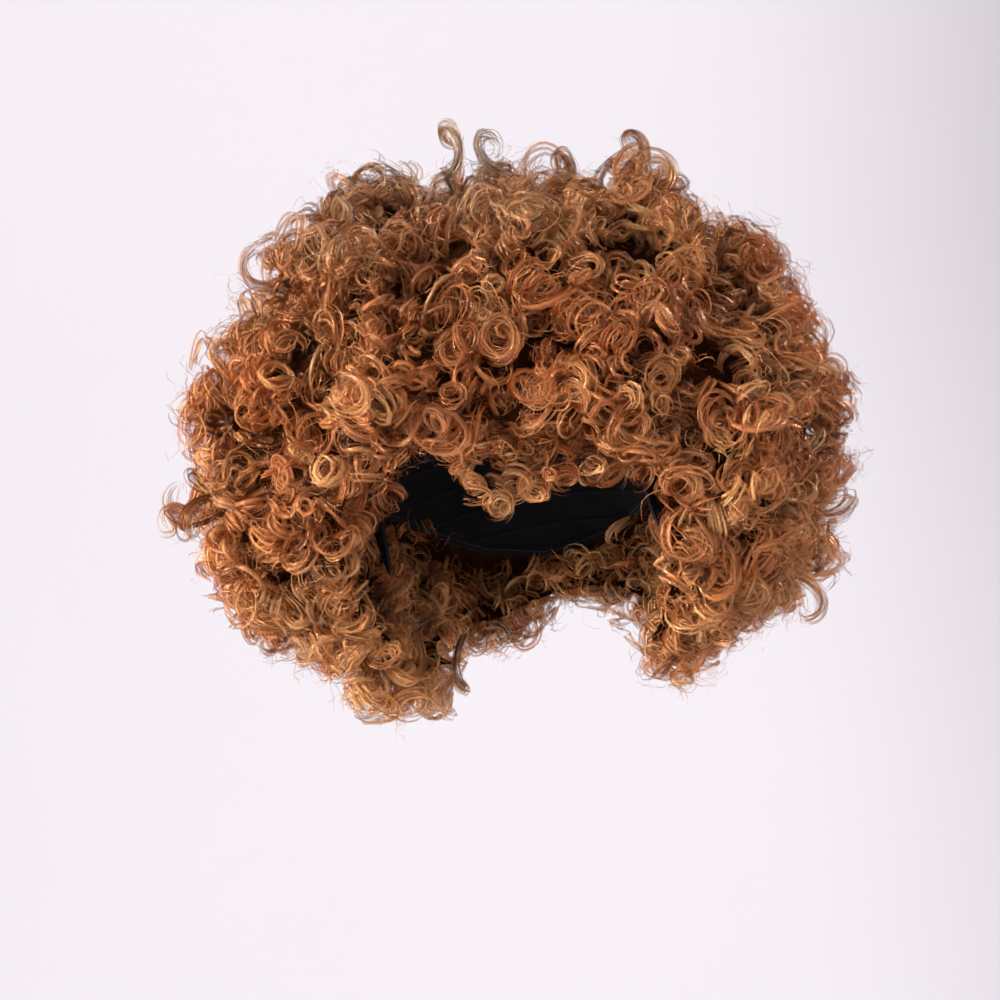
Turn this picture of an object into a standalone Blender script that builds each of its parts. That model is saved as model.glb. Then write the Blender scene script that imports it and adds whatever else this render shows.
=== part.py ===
"""Afro wig in metres, +Z up: a cloth cap with a bound edge and ear tabs, a fringe, and a deep mass of curls.

The origin is the top of the wearer's head, on the inside of the cap. The face looks along -Y
and the wearer's left side is at +X.
"""

import math
import random

import bmesh
import bpy
from mathutils import Vector

# The head that the cap is cut for
HEAD_WIDTH = 0.152
HEAD_DEPTH = 0.190
CROWN_HEIGHT = 0.106
NECK_WIDTH = 0.112
NECK_DEPTH = 0.118
NECK_SETBACK = 0.022
NECK_DROP = 0.235

# Cap, its bound edge and the tabs in front of the ears
CAP_WALL = 0.0016
FRONT_DROP = 0.062
NAPE_DROP = 0.158
BINDING_HEIGHT = 0.006
BINDING_WALL = 0.0018
TAB_LENGTH = 0.038
TAB_WALL = 0.0016
TAB_START_TURN = 57.0
TAB_END_TURN = 80.0
TAB_GAP = 0.0007
TAB_NARROWING = 0.92
TAB_COLUMNS = 4
TAB_ROWS = 7
SEAM_GAP = 0.0004

# Hair mass: how far it reaches from its own centre, and how far it stands off the cap
HAIR_HALF_WIDTH = 0.160
HAIR_RISE = 0.116
HAIR_FALL = 0.141
HAIR_FRONT_REACH = 0.143
HAIR_BACK_REACH = 0.150
HAIR_SIDE_SHIFT = 0.003
HAIR_SETBACK = 0.012
HAIR_CENTRE_DROP = 0.068
HAIR_CENTRE = Vector((HAIR_SIDE_SHIFT, HAIR_SETBACK, -HAIR_CENTRE_DROP))
UPPER_ROUNDNESS = 2.0
LOWER_ROUNDNESS = 2.6
HAIR_SEAT = 0.0010
LUMP_COUNT = 64
LUMP_SPREAD = 14.0
LUMP_HEIGHT = 0.009
LUMP_MIDLINE = 0.5
HEAD_SPACE_REACH = 1.4
UNDERSIDE_SHARE = 0.999

# Face opening, whose back lies this far before the crown
FACE_OPENING_BACK = 0.028
FACE_OPENING_REACH = 0.300
FACE_TOP_TURN = 70.0
FACE_TOP_STEPS = 14

# Curls that stand out of the mass
CURL_COUNT = 70
CURL_RADIUS = 0.0118
CURL_THICKNESS = 0.0138
CURL_LENGTH = 0.021
CURL_ROOT_DEPTH = 0.008
CURL_TURNS = 1.0
CURL_STEPS = 7
CURL_MARGIN = 0.0095
CURL_SMALLEST = 0.8
CURL_LARGEST = 1.2
CURL_TILT = 0.4
CURL_LIFT = 0.2
CURL_SAG = 0.5
CURL_ROOT_OPENING = 0.30
CURL_OPENING_RATE = 1.4
CURL_END_GIRTH = 0.66

# Fringe: a weft along the front edge and the curls that hang from it
WEFT_HEIGHT = 0.011
WEFT_WALL = 0.0045
WEFT_GAP = 0.0009
WEFT_START_TURN = -18.0
WEFT_END_TURN = 66.0
WEFT_COLUMNS = 20
WEFT_ROWS = 2
FRINGE_CURL_COUNT = 8
FRINGE_CURL_INSET = 6.0
FRINGE_CURL_RADIUS = 0.0052
FRINGE_CURL_THICKNESS = 0.0056
FRINGE_CURL_LENGTH = 0.025
FRINGE_CURL_TURNS = 1.2
FRINGE_CURL_SMALLEST = 0.8
FRINGE_CURL_LARGEST = 1.25
FRINGE_ROOT_DROP = 0.8
FRINGE_ROOT_DEPTH = 0.6
FRINGE_LEAN = 0.55
FRINGE_SWAY = 0.3
FRINGE_START_ANGLE = 0.5

STATIONS = 36
RINGS = 18
CAP_RINGS = 8
HAIR_STATIONS = 40
HAIR_RINGS = 24
SEED = 7
MERGE_DISTANCE = 1e-6

# Edge of the cap: degrees from the front, and the share of the way from the front's drop to the nape's
CAP_EDGE = (
    (0, 0.00),
    (35, 0.05),
    (60, 0.20),
    (90, 0.42),
    (115, 0.58),
    (150, 0.90),
    (180, 1.00),
)

# Face opening beside the cheeks: share of the neck's drop, and the half width as a share of the head's
FACE_OUTLINE = (
    (0.44, 1.045),
    (0.56, 1.050),
    (0.66, 0.96),
    (0.78, 0.78),
    (0.95, 0.68),
    (1.40, 0.66),
)

# Tufts and dents of the mass: bearing round the front view from the wearer's left, degrees that the
# tuft is turned to the front, reach as a share of the mass's own, and how many degrees it spreads
TUFTS = (
    (3, 0, -0.09, 11),
    (22, 5, 0.05, 8),
    (33, 0, -0.16, 7),
    (51, 4, 0.09, 9),
    (69, -4, -0.03, 9),
    (86, -6, 0.15, 8),
    (102, 0, -0.13, 6),
    (116, 4, 0.23, 13),
    (147, 0, -0.03, 8),
    (168, 3, 0.09, 8),
    (188, -3, 0.05, 7),
    (200, 8, 0.06, 8),
    (212, -6, 0.04, 7),
    (236, 0, -0.05, 8),
    (313, 4, 0.04, 8),
    (325, -8, 0.03, 7),
    (354, 0, 0.07, 8),
    (70, 38, 0.05, 12),
    (108, 30, -0.07, 9),
    (135, 40, 0.05, 12),
    (100, 58, 0.04, 10),
    (40, 42, -0.05, 9),
    (20, 48, 0.05, 12),
    (165, 46, 0.04, 12),
    (345, 38, 0.04, 11),
    (200, 36, 0.03, 10),
    (65, -40, 0.05, 13),
    (98, -48, -0.06, 10),
    (128, -38, 0.05, 12),
    (158, -45, -0.05, 11),
    (22, -45, 0.05, 12),
    (350, -50, -0.04, 11),
    (180, -62, 0.06, 13),
    (225, -48, 0.05, 12),
    (310, -52, 0.05, 12),
    (270, -70, 0.03, 14),
)


def table_slope(rows, index):
    """Slope at one row of a table, from the rows on either side of it."""
    low = rows[max(index - 1, 0)]
    high = rows[min(index + 1, len(rows) - 1)]
    return (high[1] - low[1]) / (high[0] - low[0])


def smooth_table(rows, key):
    """Value at key in a table of (key, value) rows, along a smooth curve through them."""
    if key <= rows[0][0]:
        return rows[0][1]
    for index, ((low, start), (high, end)) in enumerate(zip(rows, rows[1:])):
        if key <= high:
            span = high - low
            share = (key - low) / span
            rise = end - start
            leave = table_slope(rows, index) * span
            arrive = table_slope(rows, index + 1) * span
            bend = 3 * rise - 2 * leave - arrive
            twist = leave + arrive - 2 * rise
            return start + share * (leave + share * (bend + share * twist))
    return rows[-1][1]


def edge_drop(turn):
    """How far below the crown the cap's edge lies, at this many degrees from the front."""
    share = smooth_table(CAP_EDGE, abs(turn))
    return FRONT_DROP + (NAPE_DROP - FRONT_DROP) * share


def arc_to_drop(arc):
    """Drop below the crown after this length of the head's side profile."""
    quarter = CROWN_HEIGHT * math.pi / 2
    if arc < quarter:
        return CROWN_HEIGHT * (1 - math.cos(arc / CROWN_HEIGHT))
    return CROWN_HEIGHT + arc - quarter


def drop_to_arc(drop):
    if drop < CROWN_HEIGHT:
        return CROWN_HEIGHT * math.acos(1 - drop / CROWN_HEIGHT)
    return CROWN_HEIGHT * math.pi / 2 + drop - CROWN_HEIGHT


def head_section(drop):
    """Half width, half depth and set-back of the head and neck, below the widest level."""
    share = min(max((drop - CROWN_HEIGHT) / (NECK_DROP - CROWN_HEIGHT), 0), 1)
    share = share * share * (3 - 2 * share)
    width = HEAD_WIDTH + (NECK_WIDTH - HEAD_WIDTH) * share
    depth = HEAD_DEPTH + (NECK_DEPTH - HEAD_DEPTH) * share
    return width / 2, depth / 2, NECK_SETBACK * share


def head_point(turn, drop, stand_off=0.0):
    """Point on the head at this many degrees from the front, this far down, and this far outside it."""
    half_width, half_depth, set_back = head_section(drop)
    if drop < CROWN_HEIGHT:
        slope = math.acos(1 - drop / CROWN_HEIGHT)
    else:
        slope = math.pi / 2
    reach = math.sin(slope)
    height = (CROWN_HEIGHT + stand_off) * math.cos(slope) - max(drop - CROWN_HEIGHT, 0)
    return Vector((
        (half_width + stand_off) * reach * math.sin(math.radians(turn)),
        set_back - (half_depth + stand_off) * reach * math.cos(math.radians(turn)),
        height - CROWN_HEIGHT,
    ))


def inside_head(point, margin):
    """Whether a point is in the head or neck, or nearer than margin to it."""
    drop = -point.z
    half_width, half_depth, set_back = head_section(drop)
    height = max(CROWN_HEIGHT - drop, 0) / (CROWN_HEIGHT + margin)
    across = point.x / (half_width + margin)
    along = (point.y - set_back) / (half_depth + margin)
    return across**2 + along**2 + height**2 < 1


def hair_direction(bearing, forward):
    """Unit vector at a bearing round the front view, turned this many degrees to the front."""
    bearing, forward = math.radians(bearing), math.radians(forward)
    across = math.cos(forward)
    return Vector((
        math.cos(bearing) * across,
        -math.sin(forward),
        math.sin(bearing) * across,
    ))


def golden_directions(count):
    """Evenly spread unit vectors over the whole sphere."""
    step = math.pi * (3 - math.sqrt(5))
    for index in range(count):
        height = 1 - 2 * (index + 0.5) / count
        flat = math.sqrt(1 - height * height)
        yield Vector((flat * math.sin(index * step), flat * math.cos(index * step), height))


def lump_height(direction):
    """Height of the round lumps that bunches of curls raise all over the mass."""
    nearest = min(direction.angle(lump) for lump in golden_directions(LUMP_COUNT))
    share = min(math.degrees(nearest) / LUMP_SPREAD, 1)
    return LUMP_HEIGHT * (LUMP_MIDLINE - share * share)


def hair_reach(direction):
    """Distance from the centre of the mass to its surface in a direction, tufts and dents included."""
    upper = direction.z > 0
    roundness = UPPER_ROUNDNESS if upper else LOWER_ROUNDNESS
    depth = HAIR_FRONT_REACH if direction.y < 0 else HAIR_BACK_REACH
    height = HAIR_RISE if upper else HAIR_FALL
    total = (
        abs(direction.x / HAIR_HALF_WIDTH) ** roundness
        + abs(direction.y / depth) ** roundness
        + abs(direction.z / height) ** roundness
    )
    swell = 1.0
    for bearing, forward, reach, spread in TUFTS:
        angle = math.degrees(direction.angle(hair_direction(bearing, forward)))
        swell += reach * math.exp(-((angle / spread) ** 2))
    return swell * total ** (-1 / roundness) + lump_height(direction)


def face_half_width(drop):
    return smooth_table(FACE_OUTLINE, drop / NECK_DROP) * HEAD_WIDTH / 2


def weft_top_drop(turn):
    return edge_drop(turn) + BINDING_HEIGHT + SEAM_GAP - WEFT_HEIGHT


def face_top_point(turn):
    """Point of the face opening's upper edge, just above the fringe's weft."""
    stand_off = BINDING_WALL + WEFT_GAP + WEFT_WALL
    return head_point(turn, weft_top_drop(turn), stand_off) + Vector((0, 0, 2 * SEAM_GAP))


def inside_face_opening(point, margin):
    if point.y > margin - FACE_OPENING_BACK:
        return False
    if abs(point.x) > face_half_width(-point.z) + margin:
        return False
    side = min(abs(point.x) / (HEAD_WIDTH / 2), 1)
    turn = min(math.degrees(math.asin(side)), FACE_TOP_TURN)
    return point.z < face_top_point(turn).z + margin


def collection(name, shown=True):
    made = bpy.data.collections.new(name)
    bpy.context.scene.collection.children.link(made)
    made.hide_render = not shown
    return made


def add_object(name, data, group):
    made = bpy.data.objects.new(name, data)
    group.objects.link(made)
    return made


def as_helper(obj):
    obj.hide_render = True
    obj.display_type = "WIRE"
    return obj


def mapped_grid(name, across, along, place, group):
    """A grid primitive whose points are moved to place(u, v), with u and v from 0 to 1."""
    mesh = bpy.data.meshes.new(name)
    sheet = bmesh.new()
    bmesh.ops.create_grid(sheet, x_segments=across, y_segments=along, size=0.5)
    for vertex in sheet.verts:
        vertex.co = place(vertex.co.x + 0.5, vertex.co.y + 0.5)
    bmesh.ops.remove_doubles(sheet, verts=sheet.verts, dist=MERGE_DISTANCE)
    bmesh.ops.recalc_face_normals(sheet, faces=sheet.faces)
    sheet.to_mesh(mesh)
    sheet.free()
    return add_object(name, mesh, group)


def mapped_sphere(name, around, rings, place, group):
    """A UV sphere primitive whose points are moved to place(unit vector)."""
    mesh = bpy.data.meshes.new(name)
    ball = bmesh.new()
    bmesh.ops.create_uvsphere(ball, u_segments=around, v_segments=rings, radius=1)
    for vertex in ball.verts:
        vertex.co = place(vertex.co.normalized())
    bmesh.ops.recalc_face_normals(ball, faces=ball.faces)
    ball.to_mesh(mesh)
    ball.free()
    return add_object(name, mesh, group)


def mesh_from_curve(name, curve, group):
    """The closed mesh of a curve, with its end caps joined on."""
    guide = add_object(name + "_guide", curve, group)
    bpy.context.view_layer.update()
    graph = bpy.context.evaluated_depsgraph_get()
    mesh = bpy.data.meshes.new_from_object(guide.evaluated_get(graph))
    bpy.data.objects.remove(guide)
    solid = bmesh.new()
    solid.from_mesh(mesh)
    bmesh.ops.remove_doubles(solid, verts=solid.verts, dist=MERGE_DISTANCE)
    bmesh.ops.recalc_face_normals(solid, faces=solid.faces)
    solid.to_mesh(mesh)
    solid.free()
    return add_object(name, mesh, group)


def solidify(obj, wall):
    thick = obj.modifiers.new("wall", "SOLIDIFY")
    thick.thickness = wall
    thick.offset = 1.0


def boolean(obj, operation, other):
    """Adds an exact Boolean with an object, or with all of a collection."""
    cut = obj.modifiers.new(operation.lower(), "BOOLEAN")
    cut.operation = operation
    cut.solver = "EXACT"
    if isinstance(other, bpy.types.Collection):
        cut.operand_type = "COLLECTION"
        cut.collection = other
    else:
        cut.object = other


def material(name, colour, roughness):
    made = bpy.data.materials.new(name)
    made.use_nodes = True
    shader = made.node_tree.nodes["Principled BSDF"]
    shader.inputs["Base Color"].default_value = (*colour, 1)
    shader.inputs["Roughness"].default_value = roughness
    shader.inputs["Metallic"].default_value = 0.0
    return made


def build_cap(group, cloth):
    def place(u, v):
        turn = 360 * u - 180
        return head_point(turn, arc_to_drop(v * drop_to_arc(edge_drop(turn))))

    cap = mapped_grid("cap", STATIONS, CAP_RINGS, place, group)
    solidify(cap, CAP_WALL)
    cap.data.materials.append(cloth)
    cap.data.shade_smooth()


def build_binding(group, cloth):
    """Tape that binds the cap's edge all the way round."""

    def place(u, v):
        turn = 360 * u - 180
        return head_point(turn, edge_drop(turn) + SEAM_GAP + v * BINDING_HEIGHT)

    binding = mapped_grid("edge_binding", STATIONS, 1, place, group)
    solidify(binding, BINDING_WALL)
    binding.data.materials.append(cloth)


def build_ear_tab(name, side, group, cloth):
    """Tab that lies in front of the ear, narrowing to a rounded end."""
    middle = (TAB_START_TURN + TAB_END_TURN) / 2
    half_spread = (TAB_END_TURN - TAB_START_TURN) / 2

    def place(u, v):
        narrowing = math.sqrt(1 - TAB_NARROWING * v**3)
        turn = middle + (2 * u - 1) * half_spread * narrowing
        top = edge_drop(turn) + SEAM_GAP + BINDING_HEIGHT + TAB_GAP
        return head_point(side * turn, top + v * TAB_LENGTH)

    tab = mapped_grid(name, TAB_COLUMNS, TAB_ROWS, place, group)
    solidify(tab, TAB_WALL)
    tab.data.materials.append(cloth)
    tab.data.shade_smooth()


def build_head_space(group):
    """The head and neck with the cap on, which the hair is hollowed to."""
    stand_off = CAP_WALL + HAIR_SEAT
    bottom = NECK_DROP * HEAD_SPACE_REACH

    def place(unit):
        turn = math.degrees(math.atan2(unit.x, -unit.y))
        share = math.acos(max(-1, min(1, unit.z))) / math.pi
        if share > UNDERSIDE_SHARE:
            return Vector((0, NECK_SETBACK, -bottom))
        return head_point(turn, arc_to_drop(share * drop_to_arc(bottom)), stand_off)

    return as_helper(mapped_sphere("head_space", STATIONS, RINGS, place, group))


def build_face_opening(group):
    """Block that is cut away in front of the face, below the fringe's weft."""
    turns = [FACE_TOP_TURN * (2 * i / FACE_TOP_STEPS - 1) for i in range(FACE_TOP_STEPS + 1)]
    top = [face_top_point(turn) for turn in turns]
    sides = [
        (face_half_width(share * NECK_DROP), -share * NECK_DROP)
        for share, _ in FACE_OUTLINE
    ]
    outline = [(point.x, point.z) for point in top]
    outline += sides
    outline += [(-x, z) for x, z in reversed(sides)]

    curve = bpy.data.curves.new("face_opening", "CURVE")
    curve.dimensions = "2D"
    curve.fill_mode = "BOTH"
    curve.extrude = FACE_OPENING_REACH / 2
    spline = curve.splines.new("POLY")
    spline.points.add(len(outline) - 1)
    for point, (x, z) in zip(spline.points, outline):
        point.co = (x, z, 0, 1)
    spline.use_cyclic_u = True
    block = mesh_from_curve("face_opening", curve, group)
    block.rotation_euler = (math.pi / 2, 0, 0)
    block.location = (0, -FACE_OPENING_BACK - FACE_OPENING_REACH / 2, 0)
    return as_helper(block)


def curl_path(root, outward, start_angle, hand, radius, length, turns):
    """Corkscrew that leaves its root along outward and opens to its full radius on the way."""
    side = outward.orthogonal().normalized()
    lift = outward.cross(side)
    points = []
    for step in range(CURL_STEPS + 1):
        share = step / CURL_STEPS
        angle = start_angle + hand * math.tau * turns * share
        spread = radius * min(1, CURL_ROOT_OPENING + CURL_OPENING_RATE * share)
        ring = side * math.cos(angle) + lift * math.sin(angle)
        points.append(root + outward * length * share + ring * spread)
    return points


def build_curl(name, points, thickness, group):
    """Lock of hair along the points, with a slimmer root and tip."""
    curve = bpy.data.curves.new(name, "CURVE")
    curve.dimensions = "3D"
    curve.bevel_depth = thickness / 2
    curve.bevel_resolution = 1
    curve.use_fill_caps = True
    spline = curve.splines.new("POLY")
    spline.points.add(len(points) - 1)
    last = len(points) - 1
    for index, (point, place) in enumerate(zip(spline.points, points)):
        point.co = (*place, 1)
        point.radius = CURL_END_GIRTH + (1 - CURL_END_GIRTH) * math.sin(math.pi * index / last)
    return mesh_from_curve(name, curve, group)


def build_mass_curls(group):
    """Curls spread over the outside of the mass, left out where the face or the neck is."""
    dice = random.Random(SEED)
    for index, direction in enumerate(golden_directions(CURL_COUNT)):
        tilt = Vector((
            dice.uniform(-CURL_TILT, CURL_TILT),
            dice.uniform(-CURL_TILT, CURL_TILT),
            dice.uniform(-CURL_SAG, CURL_LIFT),
        ))
        outward = (direction + tilt).normalized()
        size = dice.uniform(CURL_SMALLEST, CURL_LARGEST)
        start_angle = dice.uniform(0, math.tau)
        hand = dice.choice((-1, 1))
        root = HAIR_CENTRE + direction * (hair_reach(direction) - CURL_ROOT_DEPTH)
        path = curl_path(
            root,
            outward,
            start_angle,
            hand,
            CURL_RADIUS * size,
            CURL_LENGTH * size,
            CURL_TURNS,
        )
        if any(inside_face_opening(p, CURL_MARGIN) or inside_head(p, 2 * CURL_MARGIN) for p in path):
            continue
        build_curl(f"curl_{index}", path, CURL_THICKNESS * size, group)


def build_hair(group, hair, cutters):
    curls = collection("mass_curls", shown=False)
    build_mass_curls(curls)

    def place(unit):
        return HAIR_CENTRE + unit * hair_reach(unit)

    mass = mapped_sphere("hair_mass", HAIR_STATIONS, HAIR_RINGS, place, group)
    boolean(mass, "DIFFERENCE", build_head_space(cutters))
    boolean(mass, "DIFFERENCE", build_face_opening(cutters))
    boolean(mass, "UNION", curls)
    mass.data.materials.append(hair)


def build_fringe(group, hair):
    """Weft along the front edge of the cap, with short curls that hang before the forehead."""
    stand_off = BINDING_WALL + WEFT_GAP

    def place(u, v):
        turn = WEFT_START_TURN + (WEFT_END_TURN - WEFT_START_TURN) * u
        return head_point(turn, weft_top_drop(turn) + v * WEFT_HEIGHT, stand_off)

    fringe = mapped_grid("fringe", WEFT_COLUMNS, WEFT_ROWS, place, group)
    solidify(fringe, WEFT_WALL)
    fringe.data.materials.append(hair)

    curls = collection("fringe_curls", shown=False)
    dice = random.Random(SEED + 1)
    start = WEFT_START_TURN + FRINGE_CURL_INSET
    end = WEFT_END_TURN - FRINGE_CURL_INSET
    for index in range(FRINGE_CURL_COUNT):
        turn = start + (end - start) * index / (FRINGE_CURL_COUNT - 1)
        size = dice.uniform(FRINGE_CURL_SMALLEST, FRINGE_CURL_LARGEST)
        thickness = FRINGE_CURL_THICKNESS * size
        low = weft_top_drop(turn) + WEFT_HEIGHT * FRINGE_ROOT_DROP
        root = head_point(turn, low, stand_off + WEFT_WALL * FRINGE_ROOT_DEPTH)
        away = (head_point(turn, low, WEFT_WALL) - head_point(turn, low)).normalized()
        hang = Vector((dice.uniform(-FRINGE_SWAY, FRINGE_SWAY), 0, -1))
        path = curl_path(
            root,
            (away * FRINGE_LEAN + hang).normalized(),
            dice.uniform(-FRINGE_START_ANGLE, FRINGE_START_ANGLE) - math.pi / 2,
            dice.choice((-1, 1)),
            FRINGE_CURL_RADIUS * size,
            FRINGE_CURL_LENGTH * size,
            FRINGE_CURL_TURNS,
        )
        if all(inside_face_opening(p, -SEAM_GAP - thickness / 2) for p in path):
            build_curl(f"fringe_curl_{index}", path, thickness, curls)
    boolean(fringe, "UNION", curls)


def build_wig():
    for obj in list(bpy.data.objects):
        bpy.data.objects.remove(obj)
    wig = collection("afro_wig")
    cutters = collection("cutters", shown=False)
    cloth = material("black_cap_cloth", (0.012, 0.012, 0.014), 0.85)
    hair = material("curled_hair", (0.30, 0.115, 0.035), 0.45)
    build_cap(wig, cloth)
    build_binding(wig, cloth)
    build_ear_tab("ear_tab_left", 1, wig, cloth)
    build_ear_tab("ear_tab_right", -1, wig, cloth)
    build_hair(wig, hair, cutters)
    build_fringe(wig, hair)


build_wig()
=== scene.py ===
"""Dresses the afro wig.

Thousands of curled locks lie over a dark core, painted as the shade between them, with a fringe, loose curls,
frizz and a black net cap.
"""

import math
from collections import namedtuple

import bmesh
import bpy
from bpy.props import FloatProperty, FloatVectorProperty, IntProperty, PointerProperty
from mathutils import Matrix, Vector
from mathutils.bvhtree import BVHTree
from mathutils.kdtree import KDTree


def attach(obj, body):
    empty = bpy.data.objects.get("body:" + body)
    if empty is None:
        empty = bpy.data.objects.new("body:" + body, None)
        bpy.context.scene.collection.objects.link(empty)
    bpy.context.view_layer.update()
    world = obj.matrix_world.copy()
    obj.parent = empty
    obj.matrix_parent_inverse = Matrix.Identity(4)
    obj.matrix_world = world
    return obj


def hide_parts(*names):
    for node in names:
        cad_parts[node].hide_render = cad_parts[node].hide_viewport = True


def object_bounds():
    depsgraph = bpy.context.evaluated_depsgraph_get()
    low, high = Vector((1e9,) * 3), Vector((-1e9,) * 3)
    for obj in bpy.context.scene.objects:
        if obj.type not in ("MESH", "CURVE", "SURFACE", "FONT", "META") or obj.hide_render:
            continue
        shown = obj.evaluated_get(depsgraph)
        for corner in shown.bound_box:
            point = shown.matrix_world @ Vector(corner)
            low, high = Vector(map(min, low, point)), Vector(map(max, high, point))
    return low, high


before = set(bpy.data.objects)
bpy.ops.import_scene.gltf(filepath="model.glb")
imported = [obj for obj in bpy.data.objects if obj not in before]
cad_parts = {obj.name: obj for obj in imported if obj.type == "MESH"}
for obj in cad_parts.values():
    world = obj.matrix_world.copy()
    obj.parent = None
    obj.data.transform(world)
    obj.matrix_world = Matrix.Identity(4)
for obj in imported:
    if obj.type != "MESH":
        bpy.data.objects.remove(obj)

bl_info = {
    "name": "Afro Wig Dresser",
    "version": (1, 0, 0),
    "blender": (4, 5, 0),
    "location": "3D View > Sidebar > Wig",
    "description": "Grows curls, fringe and frizz on the wig's solids and finishes its cloth cap",
    "category": "Object",
}

BODY = "root"
PIECE_LIMIT = 200000
WELD_GAP = 0.00001
MM = 0.001
DOWN = Vector((0, 0, -1))
CAD_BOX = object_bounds()
LOW, HIGH = CAD_BOX
HAIR_CENTRE = Vector((0.003, 0.012, -0.068))
HALF_SIZE = (HIGH - LOW) / 2

# The random choices that shape a curl. Each has its own seed, its lowest and its highest value
CHANCES = {
    "hand": (12, -1.0, 1.0),
    "ribbon turns": (21, 0.92, 1.08),
    "ribbon start": (22, -0.55, 0.55),
    "ribbon ring": (23, 0.70, 1.28),
    "ribbon twist": (26, 0.0, math.pi),
    "ribbon width": (27, 0.7, 1.25),
    "ribbon tone": (28, 0.0, 1.0),
    "lock size": (31, 0.0, 1.0),
    "lock turns": (32, 0.0, 1.0),
    "lock layer": (33, 0.0, 1.0),
    "lock taper": (35, 0.1, 0.55),
    "lock rise": (36, 0.6, 1.3),
    "lock droop": (37, 0.0, 0.004),
    "lock tone": (38, 0.0, 1.0),
}

# The seeds of the random directions
ARROWS = {"lock side": 11, "ribbon place": 24, "ribbon ripple": 25, "lock drift": 29, "lock lean": 34}

# Ribbons are numbered lock by lock, with room for this many in each
RIBBON_NUMBERS = 16.0

# What the tree of a single lock is given
STRAND_INPUTS = {
    "Strands": "Int",
    "Steps": "Int",
    "Ribbon": "Float",
    "Spread": "Float",
    "Frizz": "Float",
    "Material": "Material",
}


class Wire:
    """A node's output socket that takes part in Python expressions."""

    def __init__(self, board, socket):
        self.board = board
        self.socket = socket

    @property
    def is_vector(self):
        return self.socket.type in {"VECTOR", "RGBA"}

    def maths(self, operation, *values):
        vector = any(isinstance(v, (tuple, Vector)) or getattr(v, "is_vector", False) for v in values)
        kind = "ShaderNodeVectorMath" if vector else "ShaderNodeMath"
        return self.board.wire(kind, {"operation": operation}, dict(enumerate(values)))

    def __add__(self, other):
        return self.maths("ADD", self, other)

    def __radd__(self, other):
        return self.maths("ADD", other, self)

    def __sub__(self, other):
        return self.maths("SUBTRACT", self, other)

    def __rsub__(self, other):
        return self.maths("SUBTRACT", other, self)

    def __mul__(self, other):
        return self.maths("MULTIPLY", self, other)

    def __rmul__(self, other):
        return self.maths("MULTIPLY", other, self)

    def __pow__(self, exponent):
        return self.maths("POWER", self, exponent)

    def sin(self):
        return self.maths("SINE", self)

    def cos(self):
        return self.maths("COSINE", self)

    def at_least(self, other):
        return self.maths("MAXIMUM", self, other)

    def at_most(self, other):
        return self.maths("MINIMUM", self, other)

    def floor(self):
        return self.maths("FLOOR", self)

    def absolute(self):
        return self.maths("ABSOLUTE", self)

    def below(self, limit):
        """1 where it is less than the limit, 0 elsewhere."""
        return self.maths("LESS_THAN", self, limit)

    def turn_from(self, other):
        """The angle whose tangent is this over the other."""
        return self.maths("ARCTAN2", self, other)

    def cross(self, other):
        return self.maths("CROSS_PRODUCT", self, other)

    def unit(self):
        return self.maths("NORMALIZE", self)

    def ramp(self, low, high):
        """Goes smoothly from 0 at low to 1 at high."""
        values = {"Value": self, "From Min": low, "From Max": high}
        return self.board.wire("ShaderNodeMapRange", {"interpolation_type": "SMOOTHSTEP"}, values)

    def part(self, axis):
        return self.board.wire("ShaderNodeSeparateXYZ", {}, {0: self}, "XYZ".index(axis))


class Board:
    """Adds nodes to one tree. The same board serves shaders and Geometry Nodes."""

    def __init__(self, tree):
        self.tree = tree

    def node(self, kind, settings=None, values=None):
        made = self.tree.nodes.new(kind)
        for name, value in (settings or {}).items():
            setattr(made, name, value)
        for key, value in (values or {}).items():
            self.feed(self.input_of(made, key), value)
        return made

    def input_of(self, node, key):
        if isinstance(key, int):
            return node.inputs[key]
        return next(s for s in node.inputs if s.name == key and s.enabled)

    def feed(self, socket, value):
        if isinstance(value, Wire):
            self.tree.links.new(value.socket, socket)
        elif socket.type in {"VECTOR", "RGBA"} and isinstance(value, (int, float)):
            size = len(socket.default_value)
            socket.default_value = (value,) * size
        elif socket.type == "RGBA":
            socket.default_value = (*value, 1) if len(value) == 3 else value
        else:
            socket.default_value = value

    def wire(self, kind, settings=None, values=None, output=None):
        """The first shown output of a new node, or the one named or numbered."""
        made = self.node(kind, settings, values)
        if isinstance(output, int):
            return Wire(self, made.outputs[output])
        shown = (s for s in made.outputs if s.enabled and output in (None, s.name))
        return Wire(self, next(shown))

    def mix(self, factor, first, second):
        """A colour between two colours."""
        return self.wire("ShaderNodeMix", {"data_type": "RGBA"}, {0: factor, 6: first, 7: second}, 2)

    def noise(self, place, scale, detail, distortion=0.0, output="Fac"):
        """A number from 0 to 1, or a colour, that drifts from place to place."""
        values = {"Vector": place, "Scale": scale, "Detail": detail, "Distortion": distortion}
        return self.wire("ShaderNodeTexNoise", {}, values, output)

    def painted(self, name):
        """A number that the mesh carries under a name, read by a material."""
        return self.wire("ShaderNodeAttribute", {"attribute_name": name}, output="Fac")

    def relief(self, height, distance, strength):
        """The normal of a surface that stands out by a height."""
        return self.wire("ShaderNodeBump", {}, {"Strength": strength, "Distance": distance, "Height": height})


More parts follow.
